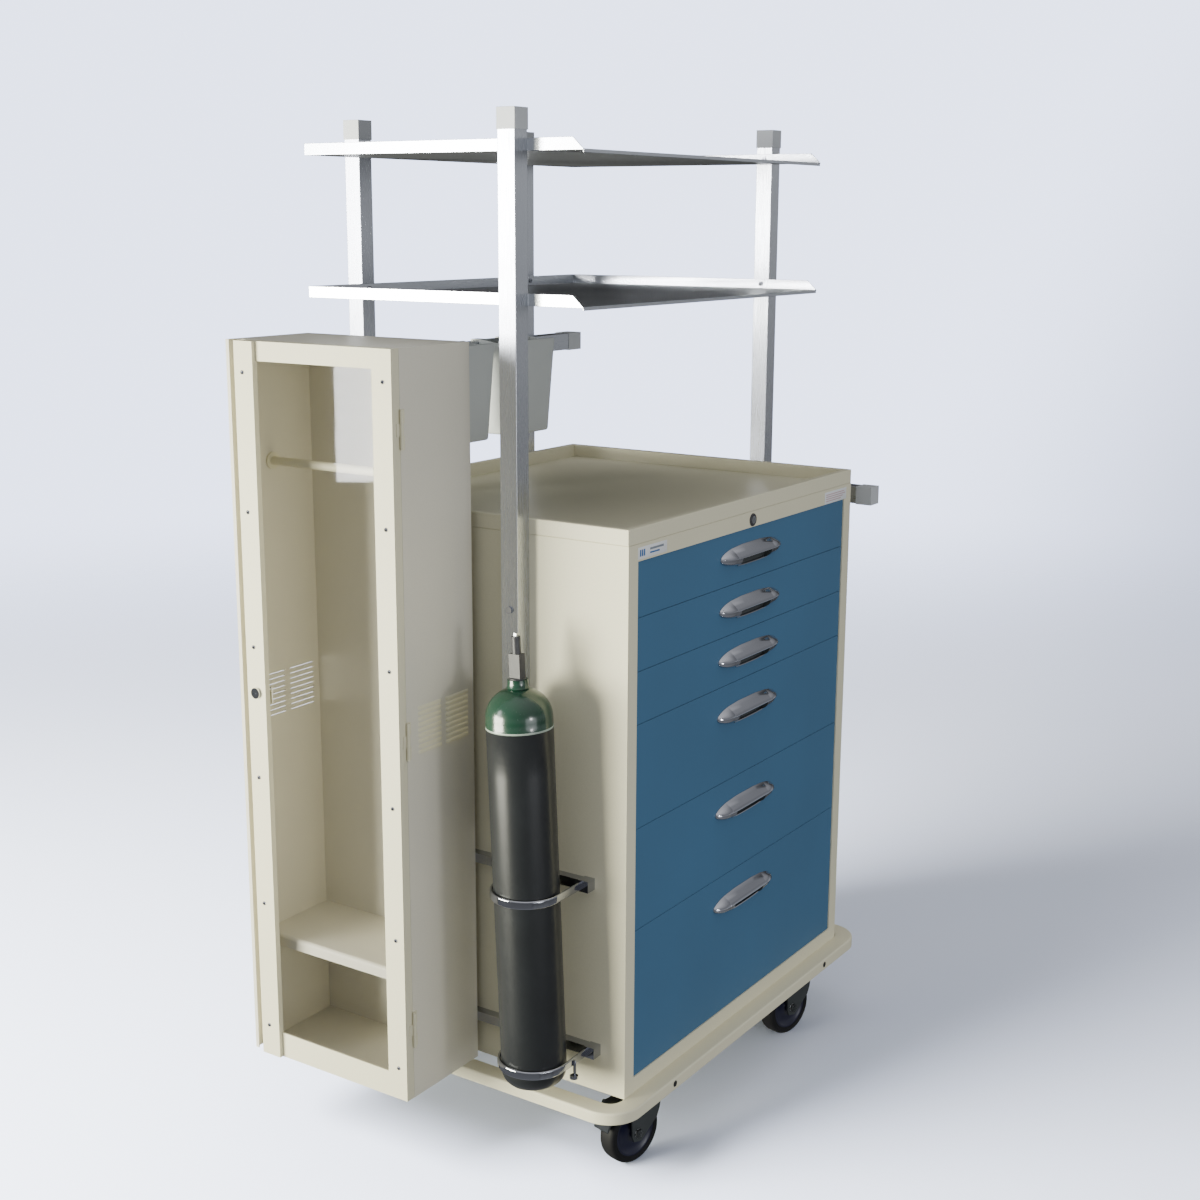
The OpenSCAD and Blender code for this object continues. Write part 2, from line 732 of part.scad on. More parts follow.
// a bar on the cabinet's side, with a band bent to a U that goes round the cylinder
module cylinder_bracket(z, y) {
    end = y - ring_r - 15;
    difference() {
        box([-bar_t, end + clamp_w - 1, z - 8], [0, scope_y1 - 40, z + 8]);
        box([-bar_t + 2, end + clamp_w + 1, z - 6], [1, scope_y1 - 42, z + 6]);
    }
    translate([gas_x, y, z]) rotate([0, 0, 90]) rotate_extrude(angle = 180, $fn = 96)
        translate([ring_r, 0]) band_section(ring_t, ring_h);
    for (side = [-1, 1]) translate([gas_x, y + side * ring_r, z]) rotate([90, 0, 90])
        linear_extrude(-gas_x - bar_t) band_section(ring_t - 0.4, ring_h - 0.4);
    // clamp blocks that hold the band's ends
    box([-20, end, z - 9.5], [0, end + clamp_w, z + 9.5]);
    box([-20, y + ring_r - 8, z - 7.5], [-bar_t, y + ring_r + 8, z + 7.5]);
}

module cylinder_brackets() color(chrome) cart() {
    for (i = [0, 1]) cylinder_bracket(ring_z[i], ring_y[i]);
    // thumb screw on the lower band
    translate([-58, ring_y[0] - ring_r - 4, ring_z[0]]) {
        translate([0, 0, -25]) cylinder(r = 2.5, h = 28);
        translate([-2, 0, -27]) cylinder(r = 7, h = 5);
    }
}

// ---- casters ----

// caster frame: the swivel axis is Z, the wheel trails along +X
module caster(i) {
    translate([caster_at[i][0], caster_at[i][1], 0]) rotate([0, 0, 180 - caster_turn]) children();
}

module fork(i) color(dark) cart() caster(i) {
    // crown with the bore for the kingpin
    difference() {
        union() {
            translate([0, 0, crown_z]) cylinder(r = 26, h = 4);
            box([-4, -leg_x - leg_t, crown_z], [40, leg_x + leg_t, crown_z + 4]);
        }
        translate([0, 0, crown_z - 1]) cylinder(r = king_r + turn_gap, h = 6);
    }
    // raceway below the plate
    difference() {
        translate([0, 0, crown_z + 4 - eps]) cylinder(r = 30, h = 2);
        translate([0, 0, crown_z + 3]) cylinder(r = 22, h = 4);
    }
    for (side = [-1, 1]) {
        y0 = side > 0 ? leg_x : -leg_x - leg_t;
        difference() {
            translate([0, y0 + leg_t, 0]) rotate([90, 0, 0]) linear_extrude(leg_t) union() {
                polygon([[-14, crown_z + 4], [62, crown_z + 4], [58, crown_z - 12],
                    [trail + 12, wheel_r - 5], [trail + 8, wheel_r - 14], [trail - 8, wheel_r - 17],
                    [-2, wheel_r + 14], [-8, wheel_r + 29]]);
                translate([trail, wheel_r]) circle(r = 13);
            }
            translate([trail, y0 - 1, wheel_r]) rotate([-90, 0, 0]) cylinder(r = axle_r, h = leg_t + 2);
        }
    }
    // axle bolt with its head and nut
    translate([trail, 0, wheel_r]) rotate([90, 0, 0]) {
        translate([0, 0, -leg_x - leg_t - 4]) cylinder(r = axle_r, h = 2 * (leg_x + leg_t) + 8);
        translate([0, 0, leg_x + leg_t]) cylinder(r = 8, h = 5, $fn = 6);
        translate([0, 0, -leg_x - leg_t - 5]) cylinder(r = 8, h = 5, $fn = 6);
    }
    if (i == 0 || i == 3) translate([brake_u, leg_x, brake_pin_z]) rotate([90, 0, 0])
        cylinder(r = 2.5, h = 2 * leg_x);
}

module tyre(i) color([0.07, 0.07, 0.08]) cart() caster(i) translate([trail, 0, wheel_r]) rotate([90, 0, 0])
    rotate_extrude($fn = 96) {
        round_r = 5;
        w = wheel_w / 2;
        translate([rim_r, -w]) square([wheel_r - round_r - rim_r, wheel_w]);
        translate([rim_r, -w + round_r]) square([wheel_r - rim_r, wheel_w - 2 * round_r]);
        for (y = [-w + round_r, w - round_r]) translate([wheel_r - round_r, y]) circle(r = round_r, $fn = 32);
    }

module hub(i) color([0.1, 0.11, 0.17]) cart() caster(i) translate([trail, 0, wheel_r]) rotate([90, 0, 0])
    rotate_extrude($fn = 96) {
        bore = axle_r + turn_gap;
        translate([bore, -leg_x + 0.5]) square([11 - bore, 2 * leg_x - 1]);
        translate([bore, -5]) square([rim_r - bore, 10]);
        translate([rim_r - 5, -wheel_w / 2 + 1]) square([5, wheel_w - 2]);
    }

module brake(i) color(steel) cart() caster(i) {
    difference() {
        union() {
            translate([brake_u, 14, brake_pin_z]) rotate([90, 0, 0]) cylinder(r = 4.5, h = 28);
            box([brake_u, -14, brake_pin_z - 1], [88, 14, brake_pin_z + 2]);
            // the foot plate slopes down behind the wheel
            translate([0, 16, 0]) rotate([90, 0, 0]) linear_extrude(32)
                polygon([[86, brake_pin_z + 2], [90, brake_pin_z + 2], [109, 79], [107.5, 76.5],
                    [105, 77.5], [86, brake_pin_z - 1]]);
        }
        translate([brake_u, 15, brake_pin_z]) rotate([90, 0, 0]) cylinder(r = 2.5 + turn_gap, h = 30);
    }
}

cabinet_shell();
tray_top();
bumper_frame();
caster_beams();
cabinet_slides();
drawer_front(0);  // drawer_front_1
drawer_front(1);  // drawer_front_2
drawer_front(2);  // drawer_front_3
drawer_front(3);  // drawer_front_4
drawer_front(4);  // drawer_front_5
drawer_front(5);  // drawer_front_6
drawer_box(0);  // drawer_box_1
drawer_box(1);  // drawer_box_2
drawer_box(2);  // drawer_box_3
drawer_box(3);  // drawer_box_4
drawer_box(4);  // drawer_box_5
drawer_box(5);  // drawer_box_6
handle(0);  // handle_1
handle(1);  // handle_2
handle(2);  // handle_3
handle(3);  // handle_4
handle(4);  // handle_5
handle(5);  // handle_6
lock_housing();
lock_plug();
posts();
tube_caps();
upper_shelf();
lower_shelf();
frame_screws();
rear_rail();
bin_1();
bin_2();
side_rail();
scope_cabinet();
scope_rod();
scope_shelf();
scope_door_frame();
scope_door_window();
scope_door_screws();
scope_hinge();
scope_door_lock();
oxygen_cylinder();
oxygen_valve();
valve_stem();
cylinder_brackets();
fork(0);  // fork_1
fork(1);  // fork_2
fork(2);  // fork_3
fork(3);  // fork_4
tyre(0);  // tyre_1
tyre(1);  // tyre_2
tyre(2);  // tyre_3
tyre(3);  // tyre_4
hub(0);  // hub_1
hub(1);  // hub_2
hub(2);  // hub_3
hub(3);  // hub_4
brake(0);  // brake_1
brake(3);  // brake_4
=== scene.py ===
import json
import math

import bmesh
import bpy
from mathutils import Matrix, Vector

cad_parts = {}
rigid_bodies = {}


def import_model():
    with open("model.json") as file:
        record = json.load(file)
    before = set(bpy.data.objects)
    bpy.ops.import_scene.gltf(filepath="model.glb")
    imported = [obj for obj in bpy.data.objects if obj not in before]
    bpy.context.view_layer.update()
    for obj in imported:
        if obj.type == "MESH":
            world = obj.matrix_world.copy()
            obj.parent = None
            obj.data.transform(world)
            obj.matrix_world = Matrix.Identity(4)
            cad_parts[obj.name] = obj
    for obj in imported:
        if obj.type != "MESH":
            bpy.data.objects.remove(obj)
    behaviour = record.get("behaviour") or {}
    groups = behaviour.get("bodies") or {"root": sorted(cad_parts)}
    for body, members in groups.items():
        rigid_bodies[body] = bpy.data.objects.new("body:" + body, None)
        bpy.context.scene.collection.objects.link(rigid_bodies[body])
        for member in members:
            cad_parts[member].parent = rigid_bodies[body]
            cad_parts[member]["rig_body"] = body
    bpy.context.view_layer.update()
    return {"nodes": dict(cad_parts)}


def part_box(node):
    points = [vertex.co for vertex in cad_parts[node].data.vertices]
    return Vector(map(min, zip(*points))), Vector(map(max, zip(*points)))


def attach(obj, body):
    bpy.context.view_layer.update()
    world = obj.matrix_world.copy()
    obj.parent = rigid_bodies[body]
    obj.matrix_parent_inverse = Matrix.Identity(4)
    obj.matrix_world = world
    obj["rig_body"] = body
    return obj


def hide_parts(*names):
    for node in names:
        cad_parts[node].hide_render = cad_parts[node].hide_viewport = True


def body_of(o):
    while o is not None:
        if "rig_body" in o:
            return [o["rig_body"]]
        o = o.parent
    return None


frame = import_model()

NODES = frame["nodes"]

# The cart's own frame, in millimetres: X from the cabinet's left face, Y from its front face, Z from
# the floor. The middle of the whole cart's box stands over the row frame's origin.
MIDDLE_X, MIDDLE_Y = 310.55, 315.975
BODY_W, BODY_D = 769.0, 631.0
CASTER_X, CASTER_Y = (107.0, 662.0), (22.0, 609.0)


def P(x, y, z):
    """A point of the cart's frame, in the row frame, in metres."""
    return Vector(((x - MIDDLE_X) / 1000, (y - MIDDLE_Y) / 1000, z / 1000))


# ---------------------------------------------------------------- materials

def _links(mat):
    return mat.node_tree.nodes, mat.node_tree.links


def finish(name, color, rough, metal=0.0, tint=0.0, patch=6.0, rough_var=0.08, bump=0.0, grain=500.0,
           stretch=(1, 1, 1), coat=0.0, speck=0.0, gloss=0.5):
    """A procedural finish: slow colour variation, fine grain in bump and roughness, and speckles."""
    mat = bpy.data.materials.new(name)
    mat.use_nodes = True
    nodes, links = _links(mat)
    bsdf = nodes["Principled BSDF"]
    bsdf.inputs["Metallic"].default_value = metal
    bsdf.inputs["Specular IOR Level"].default_value = gloss
    bsdf.inputs["Coat Weight"].default_value = coat
    bsdf.inputs["Coat Roughness"].default_value = 0.12
    place = nodes.new("ShaderNodeTexCoord")
    warp = nodes.new("ShaderNodeMapping")
    warp.inputs["Scale"].default_value = stretch
    links.new(place.outputs["Object"], warp.inputs["Vector"])

    slow = nodes.new("ShaderNodeTexNoise")
    slow.inputs["Scale"].default_value = patch
    slow.inputs["Detail"].default_value = 4.0
    links.new(place.outputs["Object"], slow.inputs["Vector"])
    fine = nodes.new("ShaderNodeTexNoise")
    fine.inputs["Scale"].default_value = grain
    fine.inputs["Detail"].default_value = 3.0
    links.new(warp.outputs["Vector"], fine.inputs["Vector"])

    ramp = nodes.new("ShaderNodeValToRGB")
    shade = tuple(c * (1 - tint) for c in color)
    ramp.color_ramp.elements[0].position = 0.3
    ramp.color_ramp.elements[0].color = (*shade, 1)
    ramp.color_ramp.elements[1].position = 0.7
    ramp.color_ramp.elements[1].color = (*color, 1)
    links.new(slow.outputs["Fac"], ramp.inputs["Fac"])
    source = ramp.outputs["Color"]
    if speck:
        mix = nodes.new("ShaderNodeMix")
        mix.data_type = "RGBA"
        mix.blend_type = "MULTIPLY"
        mix.inputs["Factor"].default_value = speck
        links.new(source, mix.inputs[6])
        links.new(fine.outputs["Fac"], mix.inputs[7])
        gain = nodes.new("ShaderNodeBrightContrast")
        gain.inputs["Bright"].default_value = speck * 0.12
        links.new(mix.outputs[2], gain.inputs["Color"])
        source = gain.outputs["Color"]
    links.new(source, bsdf.inputs["Base Color"])

    spread = nodes.new("ShaderNodeMapRange")
    spread.inputs["To Min"].default_value = max(rough - rough_var, 0.02)
    spread.inputs["To Max"].default_value = min(rough + rough_var, 1.0)
    links.new(fine.outputs["Fac"], spread.inputs["Value"])
    links.new(spread.outputs["Result"], bsdf.inputs["Roughness"])
    if bump:
        relief = nodes.new("ShaderNodeBump")
        relief.inputs["Strength"].default_value = bump
        relief.inputs["Distance"].default_value = 0.0004
        links.new(fine.outputs["Fac"], relief.inputs["Height"])
        links.new(relief.outputs["Normal"], bsdf.inputs["Normal"])
    return mat


CREAM = finish("cream_powder_coat", (0.73, 0.695, 0.515), 0.46, tint=0.05, patch=3.0, bump=0.16,
               grain=520, rough_var=0.07, speck=0.12, gloss=0.25)
CASE = finish("cream_case_coat", (0.72, 0.69, 0.585), 0.46, tint=0.05, patch=3.0, bump=0.16, grain=520,
              rough_var=0.07, speck=0.12, gloss=0.25)
BLUE = finish("blue_powder_coat", (0.031, 0.135, 0.262), 0.48, tint=0.10, patch=4.0, bump=0.15,
              grain=520, rough_var=0.07, speck=0.15)
STEEL_X = finish("stainless_brushed_along_x", (0.60, 0.62, 0.66), 0.30, 1.0, tint=0.06, bump=0.10,
                 grain=900, stretch=(0.03, 1, 1), rough_var=0.10)
STEEL_Y = finish("stainless_brushed_along_y", (0.60, 0.62, 0.66), 0.30, 1.0, tint=0.06, bump=0.10,
                 grain=900, stretch=(1, 0.03, 1), rough_var=0.10)
STEEL_Z = finish("stainless_brushed_along_z", (0.62, 0.64, 0.68), 0.28, 1.0, tint=0.06, bump=0.10,
                 grain=900, stretch=(1, 1, 0.03), rough_var=0.10)
ZINC = finish("zinc_plate", (0.50, 0.52, 0.54), 0.38, 1.0, tint=0.18, patch=25, bump=0.08, grain=700)
CHROME = finish("polished_chrome", (0.46, 0.47, 0.52), 0.10, 1.0, tint=0.05, patch=14, grain=900,
                rough_var=0.03)
CAP = finish("grey_cap_plastic", (0.50, 0.52, 0.54), 0.50, tint=0.08, patch=20, bump=0.10, grain=900)
BIN = finish("light_grey_plastic", (0.57, 0.60, 0.60), 0.55, tint=0.06, patch=12, bump=0.14, grain=1100)
# dark grey paint of the caster beams and forks, also painted shade inside the pulls' slots
DARK_PAINT_AND_SLOT_SHADE = finish("dark_grey_paint_and_slot_shade", (0.040, 0.046, 0.048), 0.48, tint=0.25, patch=18, bump=0.12, grain=600)
TYRE = finish("tyre_rubber", (0.010, 0.010, 0.011), 0.62, gloss=0.2, tint=0.25, patch=30, bump=0.22,
              grain=800, rough_var=0.10)
NAVY = finish("navy_wheel_plastic", (0.008, 0.009, 0.030), 0.36, tint=0.20, patch=24, bump=0.08,
              grain=900)
BLACK = finish("black_cylinder_paint", (0.014, 0.016, 0.018), 0.34, tint=0.35, patch=16, bump=0.10,
               grain=300, rough_var=0.10, coat=0.25)
GREEN = finish("green_cylinder_paint", (0.010, 0.048, 0.027), 0.24, tint=0.18, patch=10, bump=0.05,
               grain=300, coat=0.5)
VALVE = finish("dull_dark_brass", (0.050, 0.050, 0.056), 0.42, tint=0.3, patch=60, bump=0.15, grain=900,
               gloss=0.35)
WHITE = finish("white_label_film", (0.74, 0.76, 0.78), 0.40, tint=0.03, patch=40, grain=900)
LABEL_BLUE = finish("label_blue_ink", (0.03, 0.13, 0.36), 0.42, tint=0.12, patch=90, grain=900)
LABEL_GREY = finish("label_grey_ink", (0.22, 0.25, 0.29), 0.45, tint=0.12, patch=90, grain=900)
LABEL_PINK = finish("label_pink_ink", (0.55, 0.36, 0.38), 0.45, tint=0.12, patch=90, grain=900)
# painted shade: a darker, duller copy of the shelf steel, for the dark surroundings its broad faces reflect
SHELF_FACE_SHADE = finish("stainless_shelf_face_painted_shade", (0.27, 0.28, 0.30), 0.42, 0.75, tint=0.10, bump=0.05, grain=900,
               stretch=(0.03, 1, 1), rough_var=0.06, gloss=0.2)
PEDAL = finish("zinc_pedal", (0.16, 0.17, 0.17), 0.42, 1.0, tint=0.2, patch=40, bump=0.10, grain=700)
INNER = finish("drawer_sheet", (0.46, 0.48, 0.50), 0.42, 1.0, tint=0.10, patch=10, bump=0.08, grain=700)
# painted shade: near black put in holes, slots and screw recesses where there is only shade
RECESS_SHADE = finish("painted_recess_shade", (0.010, 0.010, 0.011), 0.7, tint=0.2, patch=50, grain=900)
BRIGHT = finish("bright_line_paint", (0.35, 0.42, 0.36), 0.30, tint=0.2, patch=50, grain=900)


def window_material():
    """Clear acrylic with a slight smoke, painted shade that darkens the cabinet's inside seen through it,
    and faint wipe marks in its gloss.
    """
    mat = bpy.data.materials.new("clear_acrylic")
    mat.use_nodes = True
    nodes, links = _links(mat)
    bsdf = nodes["Principled BSDF"]
    bsdf.inputs["Base Color"].default_value = (0.10, 0.105, 0.105, 1)
    bsdf.inputs["Alpha"].default_value = 0.08
    bsdf.inputs["IOR"].default_value = 2.2
    place = nodes.new("ShaderNodeTexCoord")
    noise = nodes.new("ShaderNodeTexNoise")
    noise.inputs["Scale"].default_value = 9.0
    noise.inputs["Detail"].default_value = 6.0
    links.new(place.outputs["Object"], noise.inputs["Vector"])
    spread = nodes.new("ShaderNodeMapRange")
    spread.inputs["To Min"].default_value = 0.012
    spread.inputs["To Max"].default_value = 0.03
    links.new(noise.outputs["Fac"], spread.inputs["Value"])
    links.new(spread.outputs["Result"], bsdf.inputs["Roughness"])
    relief = nodes.new("ShaderNodeBump")
    relief.inputs["Strength"].default_value = 0.02
    relief.inputs["Distance"].default_value = 0.0005
    links.new(noise.outputs["Fac"], relief.inputs["Height"])
    links.new(relief.outputs["Normal"], bsdf.inputs["Normal"])
    return mat


ACRYLIC = window_material()


# ---------------------------------------------------------------- mesh helpers

def add_piece(name, bm, body, *mats, smooth=35.0, slot=None, stands_for=()):
    """Makes an object of bm, with sharp edges above that angle, on that body."""
    bmesh.ops.recalc_face_normals(bm, faces=bm.faces)
    mesh = bpy.data.meshes.new(name)
    bm.to_mesh(mesh)
    bm.free()
    for mat in mats:
        mesh.materials.append(mat)
    mesh.polygons.foreach_set("use_smooth", [True] * len(mesh.polygons))
    mesh.set_sharp_from_angle(angle=math.radians(smooth))
    obj = bpy.data.objects.new(name, mesh)
    bpy.context.scene.collection.objects.link(obj)
    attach(obj, body)
    if stands_for:
        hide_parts(*stands_for)
    return obj


def softened(node, mat, width, segments=2, slot=None):
    """A copy of a CAD node whose sharp edges are rounded, standing for the node."""
    source = NODES[node]
    bm = bmesh.new()
    bm.from_mesh(source.data)
    bmesh.ops.remove_doubles(bm, verts=bm.verts, dist=1e-5)
    bmesh.ops.dissolve_limit(bm, angle_limit=math.radians(0.6), verts=bm.verts, edges=bm.edges)
    obj = add_piece(node + "_skin", bm, body_of(source)[0], mat, slot=slot)
    mod = obj.modifiers.new("soft_edges", "BEVEL")
    mod.width = width / 1000
    mod.segments = segments
    mod.limit_method = "ANGLE"
    mod.angle_limit = math.radians(32)
    mod.harden_normals = True
    mod.use_clamp_overlap = True
    bpy.context.view_layer.update()
    graph = bpy.context.evaluated_depsgraph_get()
    done = bpy.data.meshes.new_from_object(obj.evaluated_get(graph))
    obj.modifiers.clear()
    obj.data = done
    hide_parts(node)
    return obj


def paint(node, *mats):
    """Gives a carried-over CAD node its finish."""
    slots = NODES[node].data.materials
    for i in range(len(slots)):
        slots[i] = mats[min(i, len(mats) - 1)]
    if not len(slots):
        slots.append(mats[0])


def lathe(bm, profile, place, segments=64, closed=False, mat=0):
    """Turns (radius, height) points in millimetres about Z and puts the form at place."""
    rings = []
    for r, z in profile:
        if r < 1e-6:
            rings.append([bm.verts.new(place @ Vector((0, 0, z / 1000)))])
            continue
        ring = []
        for k in range(segments):
            a = 2 * math.pi * k / segments
            ring.append(bm.verts.new(place @ (Vector((r * math.cos(a), r * math.sin(a), z)) / 1000)))
        rings.append(ring)
    pairs = list(zip(rings, rings[1:]))
    if closed:
        pairs.append((rings[-1], rings[0]))
    for low, high in pairs:
        for k in range(segments):
            n = (k + 1) % segments
            if len(low) == 1 and len(high) == 1:
                continue
            if len(low) == 1:
                face = bm.faces.new((low[0], high[n], high[k]))
            elif len(high) == 1:
                face = bm.faces.new((low[k], low[n], high[0]))
            else:
                face = bm.faces.new((low[k], low[n], high[n], high[k]))
            face.material_index = mat


def arc(cx, cy, r, a0, a1, n):
    """Points on an arc, angles in degrees."""
    return [(cx + r * math.cos(math.radians(a0 + (a1 - a0) * k / n)),
             cy + r * math.sin(math.radians(a0 + (a1 - a0) * k / n))) for k in range(n + 1)]


def rounded_block(bm, low, high, r=0.5, place=None, mat=0):
    """A block in millimetres of the cart's frame, with its twelve edges rounded."""
    r = min(r, 0.49 * min(high[i] - low[i] for i in range(3)))
    made = bmesh.ops.create_cube(bm, size=1.0)["verts"]
    for v in made:
        p = Vector(low[i] if v.co[i] < 0 else high[i] for i in range(3))
        v.co = place @ (p / 1000) if place else P(*p)
    edges = list({e for v in made for e in v.link_edges})
    out = bmesh.ops.bevel(bm, geom=edges, offset=r / 1000, segments=2, profile=0.5, affect="EDGES")
    for f in {f for v in list(out["verts"]) + made if v.is_valid for f in v.link_faces}:
        f.material_index = mat


def band(bm, rows):
    """Joins closed rows of points, each to the next."""
    for a, b in zip(rows, rows[1:]):
        for k in range(len(a)):
            n = (k + 1) % len(a)
            bm.faces.new((a[k], a[n], b[n], b[k]))


# ---------------------------------------------------------------- cabinet, tray, frame

softened("cabinet_shell", CREAM, 0.9, 3, "cabinet")
softened("tray_top", CREAM, 3.0, 4, "cabinet")
DRAWERS = range(1, 7)
# rolled edges leave a gap of about half a millimetre between two fronts
ROLL, MIDDLE_BAND = 0.00065, 0.01
for number in DRAWERS:
    front = softened(f"drawer_front_{number}", BLUE, 0.6, 3, "drawer")
    low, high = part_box(f"drawer_front_{number}")
    middle = (low.z + high.z) / 2
    for v in front.data.vertices:
        if v.co.z > middle + MIDDLE_BAND:
            v.co.z += ROLL
        elif v.co.z < middle - MIDDLE_BAND:
            v.co.z -= ROLL
    paint(f"drawer_box_{number}", INNER)
paint("cabinet_slides", ZINC)
paint("caster_beams", DARK_PAINT_AND_SLOT_SHADE)
softened("posts", STEEL_Z, 1.4, 3, "stainless")
softened("tube_caps", CAP, 2.2, 4, "cap_grey")
softened("upper_shelf", STEEL_X, 0.5, 2, "stainless")
softened("lower_shelf", STEEL_X, 0.5, 2, "stainless")
for shelf in ("upper_shelf_skin", "lower_shelf_skin"):
    # the broad faces of a shelf take a finer grain and a darker copy of the steel than its folded lips,
    # painted shade for the dark surroundings they reflect
    mesh = bpy.data.objects[shelf].data
    mesh.materials.append(SHELF_FACE_SHADE)
    for face in mesh.polygons:
        if abs(face.normal.z) > 0.95 and face.area > 0.01:
            face.material_index = 1
softened("rear_rail", STEEL_X, 1.4, 3, "stainless")
softened("side_rail", STEEL_Y, 1.4, 3, "stainless")
softened("scope_cabinet", CASE, 0.6, 2, "cabinet")
softened("scope_door_frame", CREAM, 0.6, 2, "cabinet")
softened("scope_shelf", CASE, 0.6, 2, "cabinet")
paint("scope_rod", CREAM)
paint("scope_door_window", ACRYLIC)
paint("scope_hinge", CREAM)
softened("cylinder_brackets", CHROME, 1.0, 2, "chrome")


BUMPER_TOP, BUMPER_LOW = 147.0, 127.0
BUMPER_FRONT = -31.6
BUMPER_CORNER = 58


def bumper():
    """The bar round the base: a folded channel with well-rounded upper edges."""
    corner = BUMPER_CORNER
    x0, x1, y0, y1 = -60.0, BODY_W + 60, BUMPER_FRONT, 663.95
    top, low, wide, t = BUMPER_TOP, BUMPER_LOW, 35.0, 2.5
    soft = 3.5
    # rows of the section as (distance in from the outer edge, height)
    out = [(0.0, low)] + [(soft - x, top - soft + z) for x, z in arc(0, 0, soft, 0, 90, 5)]
    out += [(wide - soft - x, top - soft + z) for x, z in arc(0, 0, soft, 90, 180, 5)] + [(wide, low)]
    out += [(wide - t, low), (wide - t, top - soft), (wide - soft, top - t)]
    out += [(soft, top - t), (t, top - soft), (t, low)]
    bm = bmesh.new()
    rows = []
    for inset, z in out:
        r = max(corner - inset, 4)
        row = []
        for cx, cy, a in ((x1 - corner, y1 - corner, 0), (x0 + corner, y1 - corner, 90),
                          (x0 + corner, y0 + corner, 180), (x1 - corner, y0 + corner, 270)):
            row += [bm.verts.new(P(px, py, z)) for px, py in arc(cx, cy, r, a, a + 90, 14)]
        rows.append(row)
    band(bm, rows + rows[:1])
    return add_piece("bumper_bar", bm, "frame", CREAM, smooth=50, slot="cabinet",
                     stands_for=["bumper_frame"])


bumper()


def bumper_plugs():
    """The two holes in the bumper's front face, as shallow plugs painted dark for the shade inside the
    holes, with a fine rim.
    """
    bm = bmesh.new()
    profile = [(0, -0.12), (4.3, -0.12), (4.6, 0.0), (5.3, 0.0), (5.5, -0.15), (5.5, -1.5), (0, -1.5)]
    height = (BUMPER_TOP + BUMPER_LOW) / 2
    for x in CASTER_X:
        place = Matrix.Translation(P(x, BUMPER_FRONT - 0.35, height))
        lathe(bm, profile, place @ Matrix.Rotation(math.radians(90), 4, "X"), 32)
    return add_piece("bumper_plugs", bm, "frame", RECESS_SHADE, slot="frame_dark")


bumper_plugs()

# ---------------------------------------------------------------- drawer pulls

# half the pull's length and height, and where along it the flat hood ends and the domed ends begin
PULL_HALF, PULL_HIGH, DOME_FROM = 102.0, 18.0, 0.62
# the hood's lower lip, as a share of the half height
LIP = -0.04


def pull_section(s):
    """Half height, depth and end fraction of a pull at s, which runs from -1 to 1 along it."""
    half = PULL_HIGH * max(1 - abs(s) ** 2.7, 0.0) ** 0.5
    t = max(abs(s) - DOME_FROM, 0.0) / (1 - DOME_FROM)
    return half, (16.0 if t == 0 else 15.2) * max(1 - t ** 2.1, 0.0) ** 0.6, t


def pull(i, z):
    """A boat-shaped pull: a slanted flat hood with domed ends, a slot below it painted dark for its shade,
    and a thin lower rim.
    """
    bm = bmesh.new()

    def at(s, out, up):
        return bm.verts.new(P(BODY_W / 2 + PULL_HALF * s, 2 - out, z + up))

    def sheet(steps, section, mat=0):
        rows = [[at(s, o, u) for o, u in section(s)] for s in steps]
        for a, b in zip(rows, rows[1:]):
            for k in range(len(a) - 1):
                bm.faces.new((a[k], a[k + 1], b[k + 1], b[k])).material_index = mat

    def hood(s):
        h, d, t = pull_section(s)
        k = min(1.0, h / 6)
        top, near = h - 1.5 * k, 2.9 * k
        points = [(0.0, h), (1.2 * k, h), (near, top)]
        for q in (0.25, 0.5, 0.75, 1.0):
            swell = 3.2 * math.sin(math.pi * q * 0.8) * min(t * 2.2, 1.0) * k
            points.append((near + (d - near) * q + swell * 0.5, top + (LIP * h - top) * q + swell * 0.4))
        out, lip = points[-1]
        low = lip - 1.9 * k
        return points + [(out + 0.3 * k, lip - 0.9 * k), (out - 0.4 * k, low), (out - 1.8 * k, low)]

    def inside(s):
        h, d = pull_section(s)[:2]
        return [hood(s)[-1], (max(d - 4.0, 1.6), LIP * h + 1.0), (2.2, h - 4.0), (0.5, h - 5.0),
                (0.4, 1.5 - h)]

    def under(s):
        h = pull_section(s)[0]
        o, u = hood(s)[-2]
        shares = ((1.0, 0.0), (0.93, 0.35), (0.72, 0.68), (0.38, 0.92))
        return [(o * a, u - (h + u) * b) for a, b in shares] + [(0.0, -h)]

    def rim(s):
        h = pull_section(s)[0]
        return [(0.0, -h), (5.4, -h + 0.1), (6.2, -h + 0.9), (5.6, -h + 2.0), (0.6, -h + 2.6)]

    ends = [0.622, 0.66, 0.70, 0.75, 0.80, 0.85, 0.89, 0.93, 0.96, 0.98, 0.992, 1.0]
    sheet([-s for s in ends[::-1]] + [-DOME_FROM, -0.3, 0.3, DOME_FROM] + ends, hood)
    # the hood's inside and the closed ends of the slot are painted dark, painted shade for the shadowed slot
    sheet([-0.50, -0.25, 0.0, 0.25, 0.50], inside, 1)
    sheet([-0.50 + 0.1 * k for k in range(11)], rim)
    for side in (-1, 1):
        sheet([side * s for s in [0.50, 0.56] + ends], under)
        bm.faces.new([at(side * 0.5, o, u) for o, u in under(0.5) + [(0.4, 10.0)]]).material_index = 1
    bmesh.ops.remove_doubles(bm, verts=bm.verts, dist=1e-6)
    return add_piece(f"pull_{i}", bm, f"drawer_{i}", CHROME, DARK_PAINT_AND_SLOT_SHADE, smooth=28, slot="chrome",
                     stands_for=[f"handle_{i}"])


for number in DRAWERS:
    low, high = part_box(f"handle_{number}")
    pull(number, (low.z + high.z) * 500)

# ---------------------------------------------------------------- lock in the top rail

LOCK = Matrix.Translation(P(387.5, 0, 1042.5))


